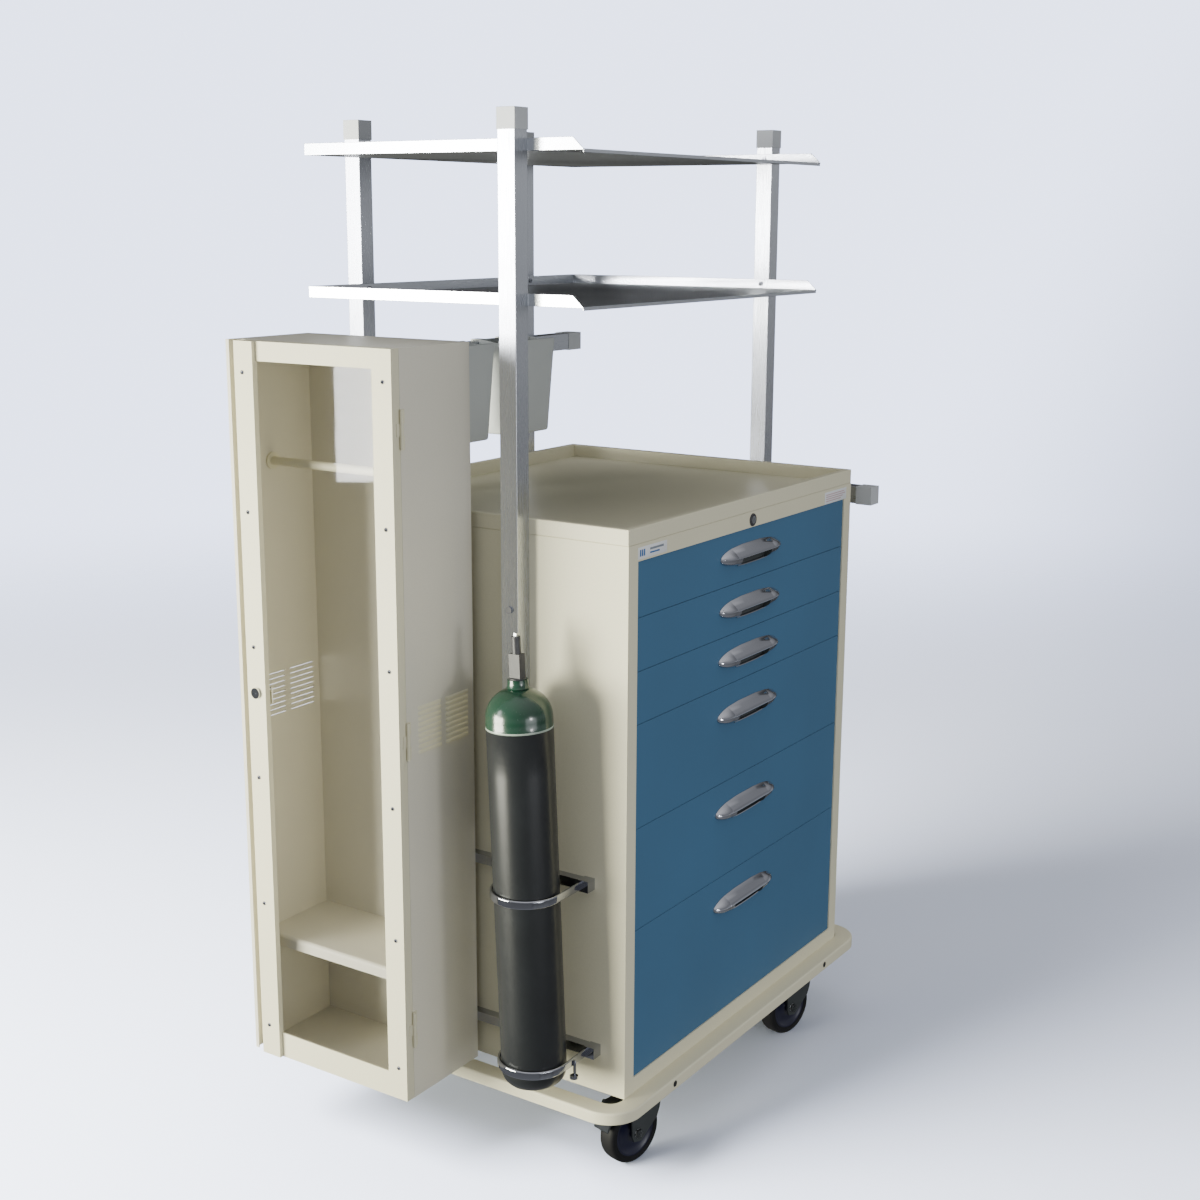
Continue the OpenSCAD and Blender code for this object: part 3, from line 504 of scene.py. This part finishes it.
def cam_lock():
    """The lock's ring, and its face with a key slot drawn as a small block painted dark for the slot's
    shade.
    """
    place = LOCK @ Matrix.Rotation(math.radians(90), 4, "X")
    bm = bmesh.new()
    lathe(bm, [(6.5, -18), (6.5, 1.6), (7.0, 2.3), (9.6, 2.3), (10.6, 1.5), (11.0, 0.3), (11.0, 0.0),
               (9.0, 0.0), (9.0, -22), (6.6, -22)], place, 64)
    add_piece("lock_ring", bm, "frame", VALVE, slot="chrome", stands_for=["lock_housing"])
    bm = bmesh.new()
    lathe(bm, [(0, 1.3), (1.8, 1.3), (5.6, 1.3), (6.2, 0.8), (6.4, 0.2), (6.4, -16), (0, -16)], place, 48)
    rounded_block(bm, (-0.8, -1.6, -3.6), (0.8, -0.4, 3.6), 0.2, LOCK, mat=1)
    add_piece("lock_face", bm, "cabinet_lock", PEDAL, RECESS_SHADE, slot="chrome")
    paint("lock_plug", ZINC)


cam_lock()

# ---------------------------------------------------------------- labels


def label(name, x, z, w, h, marks):
    """A thin film on a -Y face, with plain bars for print, each (left, low, right, high, finish)."""
    bm = bmesh.new()
    rounded_block(bm, (x, -0.35, z), (x + w, 0, z + h), 0.12)
    for a, b, c, d, m in marks:
        rounded_block(bm, (x + a, -0.45, z + b), (x + c, -0.3, z + d), 0.03, None, m)
    return add_piece(name, bm, "frame", WHITE, LABEL_BLUE, LABEL_GREY, LABEL_PINK, smooth=60,
                     slot="cap_grey")


label("label_left", 26, 1033, 84, 18.5,
      [(5, 4, 9, 14.5, 1), (10.5, 4, 14.5, 14.5, 1), (16, 4, 20, 14.5, 1),
       (34, 10.5, 74, 14, 2), (34, 5, 62, 7.5, 1)])
label("label_right", 660, 1030.5, 89, 21.5,
      [(5, 15.5, 80, 17.2, 3), (5, 11.6, 84, 13.3, 3), (5, 7.7, 74, 9.4, 3), (5, 3.8, 66, 5.5, 3)])

# ---------------------------------------------------------------- screws


def screw(bm, x, y, z, normal, r=3.4, h=2.2):
    """A pan head with a crossed recess, drawn as two thin bars painted dark for the recess's shade, standing
    on a face with that outward normal.
    """
    turn = Vector((0, 0, 1)).rotation_difference(Vector(normal)).to_matrix().to_4x4()
    place = Matrix.Translation(P(x, y, z)) @ turn
    dome = [(0, 1), (0.45, 0.98), (0.8, 0.72), (0.97, 0.3), (1, 0), (0, 0)]
    lathe(bm, [(r * a, h * b) for a, b in dome], place, 28)
    for a, b in (((-r * 0.5, -0.4), (r * 0.5, 0.4)), ((-0.4, -r * 0.5), (0.4, r * 0.5))):
        rounded_block(bm, (a[0], a[1], h - 0.4), (b[0], b[1], h + 0.05), 0.05, place, 1)


LEFT, RIGHT, BACK = (-1, 0, 0), (1, 0, 0), (0, -1, 0)
SIDE_POST_Y, REAR_POST_X, TUBE = 200, 236, 31.75

# two columns: one on the door's near stile, and one on its lock strip, which stands 7 mm further out
bm = bmesh.new()
for row in range(6):
    height = 202 + 220 * row
    screw(bm, -201.6, 302.1, height, LEFT)
    screw(bm, -208.6, 581.0, height, LEFT)
add_piece("door_screw_heads", bm, "scope_door", CHROME, RECESS_SHADE, slot="chrome",
          stands_for=["scope_door_screws"])

bm = bmesh.new()
for height in (1417.5, 1645.0):
    screw(bm, 1.6, SIDE_POST_Y, height, RIGHT, 4.2, 2.4)
    screw(bm, BODY_W - 1.6, SIDE_POST_Y, height, LEFT, 4.2, 2.4)
    for side in (-1, 1):
        screw(bm, BODY_W / 2 + side * REAR_POST_X, BODY_D - 1.6, height, BACK, 4.2, 2.4)
for height in (600.0, 940.0):
    screw(bm, -TUBE, SIDE_POST_Y, height, LEFT, 6.0, 3.4)
    screw(bm, BODY_W + TUBE, SIDE_POST_Y, height, RIGHT, 6.0, 3.4)
add_piece("frame_screw_heads", bm, "frame", CHROME, RECESS_SHADE, slot="chrome")
paint("frame_screws", CHROME)

# ---------------------------------------------------------------- louvre hoods


def louvres(name, y, side):
    """Pressed hoods over the slots, each a half-round blade, open below. side is the outward way."""
    length = 55
    # along the blade as (distance, swell), and across it as (out, up)
    stations = [(-1.2, 0.02), (0.6, 0.75), (3.0, 1.0), (length - 3.0, 1.0), (length - 0.6, 0.75),
                (length + 1.2, 0.02)]
    blade = [(0.0, 5.2), (0.9, 4.7), (2.0, 3.4), (2.5, 1.6), (2.4, 0.2), (1.7, 0.2), (1.6, 1.6), (0.4, 3.6),
             (0.0, 3.8)]
    bm = bmesh.new()
    for row in range(9):
        z = 722 + 8.9 * row
        for x in (-155, -87):
            rows = [[bm.verts.new(P(x + along, y + side * out * swell, z + up)) for out, up in blade]
                    for along, swell in stations]
            for a, b in zip(rows, rows[1:]):
                for k in range(len(a) - 1):
                    bm.faces.new((a[k], a[k + 1], b[k + 1], b[k]))
    return add_piece(name, bm, "frame", CREAM, smooth=60, slot="cabinet")


louvres("louvres_near", 285.6, -1)
louvres("louvres_far", 622.0, 1)

# ---------------------------------------------------------------- bins


def bin_piece(name, body, x0, node):
    """A tapered bin with rounded corners, a rolled rim and a front panel whose top corners are rounded."""
    z0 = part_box(node)[0].z * 1000
    y0 = 520.85
    w, d, h = 142.0, 78.0, 176.0
    bm = bmesh.new()

    def ring(t, grow, z):
        """One closed row of points round the bin at height share t."""
        foot = 9.0 * (1 - t)
        xa, xb = x0 + foot - grow, x0 + w - foot + grow
        ya, yb = y0 + foot - grow, y0 + d + min(grow, 0)
        pts = []
        for cx, cy, a, r in ((xb, yb, 0, 4.0), (xa, yb, 90, 4.0), (xa, ya, 180, 11.0), (xb, ya, 270, 11.0)):
            r = max(r + grow, 1.5)
            ox = cx - r if cx == xb else cx + r
            oy = cy - r if cy == yb else cy + r
            pts += arc(ox, oy, r, a, a + 90, 6)
        row = []
        for px, py in pts:
            drop = 0.0
            if t > 0.99:
                # the top corners at the front are cut to a radius
                edge = min(px - xa, xb - px)
                front = max(0.0, 1 - (py - ya) / 26.0)
                if edge < 14:
                    drop = (14 - math.sqrt(max(14 * 14 - (14 - max(edge, 0)) ** 2, 0))) * front
            row.append(bm.verts.new(P(px, py, z - drop)))
        return row

    rows = [ring(0.0, -8.0, z0), ring(0.0, -3.0, z0 + 0.3), ring(0.0, -0.8, z0 + 2.0)]
    rows.append(ring(0.02, 0.0, z0 + 5.0))
    for k in range(1, 8):
        rows.append(ring(k / 8, 0.0, z0 + 5 + (h - 11) * k / 8))
    rows += [ring(1.0, 0.0, z0 + h - 6), ring(1.0, 0.0, z0 + h - 1.2), ring(1.0, -1.0, z0 + h),
             ring(1.0, -2.2, z0 + h - 0.6), ring(0.995, -2.5, z0 + h - 8)]
    for k in range(7, 0, -1):
        rows.append(ring(k / 8, -2.5, z0 + 5 + (h - 11) * k / 8))
    rows += [ring(0.02, -2.5, z0 + 6.0), ring(0.0, -6.0, z0 + 2.6)]
    band(bm, rows)
    bm.faces.new(rows[0])
    bm.faces.new(rows[-1])
    # two hooks, each a flat arm and a tongue that hangs behind the rail
    back, top, wide = y0 + d, z0 + h, 22
    reach = back + 34.75
    for left in (x0 + 22, x0 + w - 44):
        rounded_block(bm, (left, back - 2.5, top - 5), (left + wide, reach, top - 2), 1.0)
        rounded_block(bm, (left, back + 32.55, top - 16), (left + wide, reach, top - 3), 0.9)
    return add_piece(name, bm, body, BIN, smooth=45, slot="bin", stands_for=[node])


for number, left in ((1, 413.0), (2, 225.0)):
    bin_piece(f"bin_shell_{number}", f"bin_{number}", left, f"bin_{number}")

# ---------------------------------------------------------------- oxygen cylinder

# the cylinder's own axis, which leans a little to the back
GAS = Matrix.Translation(P(-86, 115.9, 184)) @ Matrix.Rotation(math.radians(-2.5), 4, "X")


def gas_cylinder():
    """Rounded foot, straight shell, domed green shoulder and a short neck."""
    r, total, shoulder = 52.5, 666.0, 46.0
    foot = [(0, 2.0), (18, 1.2), (26.5, 0.0)] + arc(26.5, 26, 26, -90, 0, 8)[1:]
    body = [(r, 120), (r, 260), (r, 400), (r, 520), (r, 590)]
    line = [(r + 0.25, 590.4), (r + 0.25, 592.6)]
    top = [(r, 593.0), (r, 606)] + arc(r - shoulder, total - 14 - shoulder, shoulder, 0, 78, 12)[1:]
    neck = [(18.0, total - 13.0), (16.4, total - 11.0), (16.0, total - 3), (16.0, total), (0, total)]
    bm = bmesh.new()
    lathe(bm, foot + body, GAS, 96, mat=0)
    lathe(bm, [body[-1]] + line + [top[0]], GAS, 96, mat=2)
    lathe(bm, top + neck, GAS, 96, mat=1)
    bmesh.ops.remove_doubles(bm, verts=bm.verts, dist=1e-6)
    return add_piece("gas_shell", bm, "gas_cylinder", BLACK, GREEN, BRIGHT, smooth=40, slot="gas",
                     stands_for=["oxygen_cylinder"])


gas_cylinder()
softened("oxygen_valve", VALVE, 0.9, 3, "valve")
paint("valve_stem", ZINC)

# ---------------------------------------------------------------- casters

CASTERS = [(x, y) for y in CASTER_Y for x in CASTER_X]
AXLE_TRAIL, AXLE_HEIGHT = 0.043, 0.055


def caster_place(i):
    """The caster's own frame: X runs from the swivel axis to the wheel, all four turned the same way."""
    x, y = CASTERS[i]
    return Matrix.Translation(P(x, y, 0)) @ Matrix.Rotation(math.radians(167), 4, "Z")


def wheel(i):
    """Tyre with a crowned tread and a shoulder groove, and a dished navy centre."""
    axle = (caster_place(i) @ Matrix.Translation((AXLE_TRAIL, 0, AXLE_HEIGHT))
            @ Matrix.Rotation(math.radians(90), 4, "X"))
    half = [(55.0, 0.0), (54.95, 5.0), (54.6, 9.6), (53.4, 13.0), (51.2, 15.2), (48.6, 16.0), (46.4, 16.0),
            (45.8, 15.5), (45.2, 16.0), (42.8, 15.6), (42.0, 14.6)]
    tread = half[::-1] + [(r, -y) for r, y in half[1:]]
    bm = bmesh.new()
    lathe(bm, tread, axle, 96, closed=True)
    add_piece(f"tyre_tread_{i + 1}", bm, f"wheel_{i + 1}", TYRE, smooth=50, slot="tyre",
              stands_for=[f"tyre_{i + 1}"])
    face = [(42.2, 14.4), (40.0, 14.6), (38.0, 13.4), (35.0, 11.0), (22.0, 9.2), (14.0, 10.0), (11.2, 12.0),
            (11.0, 17.3), (5.2, 17.3), (5.1, 10.0)]
    ring = face + [(r, -y) for r, y in face[::-1]]
    bm = bmesh.new()
    lathe(bm, ring, axle, 96, closed=True)
    add_piece(f"wheel_centre_{i + 1}", bm, f"wheel_{i + 1}", NAVY, smooth=40, slot="hub",
              stands_for=[f"hub_{i + 1}"])


def axle_ends(i):
    """Washer and chamfered hex on each side of the fork."""
    bm = bmesh.new()
    for side in (-1, 1):
        place = (caster_place(i) @ Matrix.Translation((AXLE_TRAIL, side * 0.021, AXLE_HEIGHT))
                 @ Matrix.Rotation(math.radians(-90 * side), 4, "X"))
        lathe(bm, [(0, 0.2), (7.4, 0.2), (7.6, 0.7), (7.2, 1.2), (0, 1.2)], place, 40)
        lathe(bm, [(0, 1.0), (8.0, 1.0), (8.0, 4.4), (7.0, 5.0), (4.6, 5.0), (4.4, 5.0), (0, 5.0)], place, 6)
    return add_piece(f"axle_ends_{i + 1}", bm, f"caster_{i + 1}", ZINC, smooth=30, slot="zinc")


for number in range(4):
    wheel(number)
    axle_ends(number)
    softened(f"fork_{number + 1}", DARK_PAINT_AND_SLOT_SHADE, 0.9, 3, "frame_dark")
for number in (1, 4):
    softened(f"brake_{number}", PEDAL, 0.9, 3, "zinc")

# ---------------------------------------------------------------- studio

bm = bmesh.new()
lathe(bm, [(0, 0), (600, 0), (1500, 0), (3000, 0), (6000, 0), (12000, 0)], Matrix.Identity(4), 96)
mesh = bpy.data.meshes.new("studio_floor")
bm.to_mesh(mesh)
bm.free()
floor = bpy.data.objects.new("studio_floor", mesh)
bpy.context.scene.collection.objects.link(floor)
floor_mat = bpy.data.materials.new("pale_floor")
floor_mat.use_nodes = True
nodes, links = _links(floor_mat)
shader = nodes["Principled BSDF"]
shader.inputs["Base Color"].default_value = (0.74, 0.80, 0.97, 1)
shader.inputs["Roughness"].default_value = 0.75
shader.inputs["Specular IOR Level"].default_value = 0.0
clear = nodes.new("ShaderNodeBsdfTransparent")
blend = nodes.new("ShaderNodeMixShader")
place = nodes.new("ShaderNodeTexCoord")
reach = nodes.new("ShaderNodeVectorMath")
reach.operation = "LENGTH"
links.new(place.outputs["Object"], reach.inputs[0])
fade = nodes.new("ShaderNodeMapRange")
fade.interpolation_type = "SMOOTHSTEP"
fade.inputs["From Min"].default_value = 1.8
fade.inputs["From Max"].default_value = 6.5
links.new(reach.outputs["Value"], fade.inputs["Value"])
links.new(fade.outputs["Result"], blend.inputs["Fac"])
links.new(shader.outputs["BSDF"], blend.inputs[1])
links.new(clear.outputs["BSDF"], blend.inputs[2])
links.new(blend.outputs["Shader"], nodes["Material Output"].inputs["Surface"])
mesh.materials.append(floor_mat)
floor.visible_diffuse = False
floor.visible_glossy = False

world = bpy.data.worlds.new("studio")
bpy.context.scene.world = world
world.use_nodes = True
nodes = world.node_tree.nodes
links = world.node_tree.links
for node in list(nodes):
    nodes.remove(node)
out = nodes.new("ShaderNodeOutputWorld")
seen = nodes.new("ShaderNodeBackground")
seen.inputs["Color"].default_value = (0.90, 1.0, 1.33, 1)
# the backdrop darkens to the right and low: painted shadow, carrying the cart's soft floor shadow on into
# the backdrop
aside = nodes.new("ShaderNodeVectorMath")
aside.operation = "DOT_PRODUCT"
aside.inputs[1].default_value = (0.4605, -0.8945, -0.488)
seen_from = nodes.new("ShaderNodeTexCoord")
links.new(seen_from.outputs["Generated"], aside.inputs[0])
backdrop_shadow = nodes.new("ShaderNodeMapRange")
backdrop_shadow.interpolation_type = "SMOOTHSTEP"
backdrop_shadow.inputs["From Min"].default_value = 0.12
backdrop_shadow.inputs["From Max"].default_value = 0.38
backdrop_shadow.inputs["To Min"].default_value = 2.95
backdrop_shadow.inputs["To Max"].default_value = 1.25
links.new(aside.outputs["Value"], backdrop_shadow.inputs["Value"])
links.new(backdrop_shadow.outputs["Result"], seen.inputs["Strength"])
glow = nodes.new("ShaderNodeBackground")
ways = nodes.new("ShaderNodeLightPath")
pick = nodes.new("ShaderNodeMixShader")
links.new(ways.outputs["Is Camera Ray"], pick.inputs["Fac"])
links.new(glow.outputs["Background"], pick.inputs[1])
links.new(seen.outputs["Background"], pick.inputs[2])
links.new(pick.outputs["Shader"], out.inputs["Surface"])
# the room: brightest near the horizon, dim above and below, and dark behind the cart
where = nodes.new("ShaderNodeTexCoord")
split = nodes.new("ShaderNodeSeparateXYZ")
links.new(where.outputs["Generated"], split.inputs[0])
height = nodes.new("ShaderNodeMapRange")
height.inputs["From Min"].default_value = -1.0
links.new(split.outputs["Z"], height.inputs["Value"])
bands = nodes.new("ShaderNodeValToRGB")
for spot, level in ((0.0, 0.34), (0.40, 0.50), (0.52, 0.62), (0.64, 0.26), (1.0, 0.11)):
    stop = bands.color_ramp.elements.new(spot) if 0 < spot < 1 else bands.color_ramp.elements[int(spot)]
    stop.color = (level * 0.97, level, level * 1.05, 1)
links.new(height.outputs["Result"], bands.inputs["Fac"])
facing = nodes.new("ShaderNodeVectorMath")
facing.operation = "DOT_PRODUCT"
facing.inputs[1].default_value = (0.83, 0.55, 0.0)
links.new(where.outputs["Generated"], facing.inputs[0])
back = nodes.new("ShaderNodeMapRange")
back.interpolation_type = "SMOOTHSTEP"
back.inputs["From Min"].default_value = 0.45
back.inputs["From Max"].default_value = 0.88
back.inputs["To Min"].default_value = 1.0
back.inputs["To Max"].default_value = 0.10
links.new(facing.outputs["Value"], back.inputs["Value"])
links.new(bands.outputs["Color"], glow.inputs["Color"])
links.new(back.outputs["Result"], glow.inputs["Strength"])


def softbox(name, where, target, size, power, color=(1, 1, 1)):
    """A square soft light that the camera doesn't see."""
    data = bpy.data.lights.new(name, "AREA")
    data.shape = "RECTANGLE"
    data.size, data.size_y = size
    data.energy = power
    data.color = color
    lamp = bpy.data.objects.new(name, data)
    bpy.context.scene.collection.objects.link(lamp)
    lamp.location = where
    lamp.rotation_euler = (Vector(target) - Vector(where)).to_track_quat("-Z", "Y").to_euler()
    lamp.visible_camera = False
    return lamp


def passes_over(lamp, *pieces):
    """The lamp lights everything but these pieces."""
    group = bpy.data.collections.new(f"not_lit_by_{lamp.name}")
    for piece in pieces:
        group.objects.link(piece)
    for member in group.collection_objects:
        member.light_linking.link_state = "EXCLUDE"
    lamp.light_linking.receiver_collection = group


def meets_only(lamp, name, *pieces):
    """The lamp lights these pieces alone."""
    group = bpy.data.collections.new(name)
    for piece in pieces:
        group.objects.link(piece)
    lamp.light_linking.receiver_collection = group


key = softbox("key", (-3.4, 2.2, 0.45), (0, 0, 0.6), (2.4, 1.7), 620, (1.0, 0.985, 0.82))
card = softbox("post_card", (-3.3, 2.25, 2.0), (0, 0, 1.5), (0.9, 1.2), 34)
softbox("front_fill", (-1.2, -3.6, 0.7), (0, 0, 0.7), (2.4, 1.4), 26, (0.94, 0.97, 1.0))
pane = softbox("window_card", (-3.409, 2.598, 0.800), (-0.5, 0.13, 1.18), (0.206, 0.482), 18)
softbox("dome_card", (-1.1, -3.1, 1.2), (0.1, -0.3, 0.8), (0.35, 0.35), 14)
shine = softbox("steel_shine", (-3.3, 2.35, 1.6), (0, 0, 1.4), (0.9, 1.1), 150)

# the key would leave hard highlights on these
window = NODES["scope_door_window"]
PULLS = [bpy.data.objects[f"pull_{number}"] for number in DRAWERS]
PEDALS = [bpy.data.objects[f"brake_{number}_skin"] for number in (1, 4)]
DULL = [bpy.data.objects[name] for name in ("posts_skin", "door_screw_heads", "scope_door_lock")]
passes_over(key, window, *DULL, *PULLS, *PEDALS)
passes_over(card, window)
meets_only(shine, "steel_only", *[bpy.data.objects[name] for name in (
    "posts_skin", "upper_shelf_skin", "lower_shelf_skin", "tube_caps_skin")])

# a light for the floor alone, which gives the soft shadow towards the cart's right
pool = softbox("floor_light", (-2.9, 1.5, 3.0), (0, 0, 0.0), (2.2, 2.2), 900)
meets_only(pool, "floor_only", floor)
meets_only(pane, "window_only", window)

# ---------------------------------------------------------------- camera

# the photograph's angle: yaw from +Y towards +X, pitch downwards
yaw, pitch, roll = math.radians(56.46), math.radians(12.75), math.radians(-0.25)
ahead = Vector((math.sin(yaw) * math.cos(pitch), math.cos(yaw) * math.cos(pitch), -math.sin(pitch)))
side = Vector((math.cos(yaw), -math.sin(yaw), 0))
down = ahead.cross(side)
side, down = side * math.cos(roll) + down * math.sin(roll), -side * math.sin(roll) + down * math.cos(roll)
camera_data = bpy.data.cameras.new("photo_view")
camera_data.lens = 50.94
camera_data.sensor_width = 36
camera_data.sensor_fit = "HORIZONTAL"
camera_data.clip_end = 60
camera = bpy.data.objects.new("photo_view", camera_data)
bpy.context.scene.collection.objects.link(camera)
axes = Matrix((side, -down, -ahead)).transposed().to_4x4()
camera.matrix_world = Matrix.Translation(P(-2107.12, -1345.38, 1541.16)) @ axes
bpy.context.scene.camera = camera

bpy.context.view_layer.update()
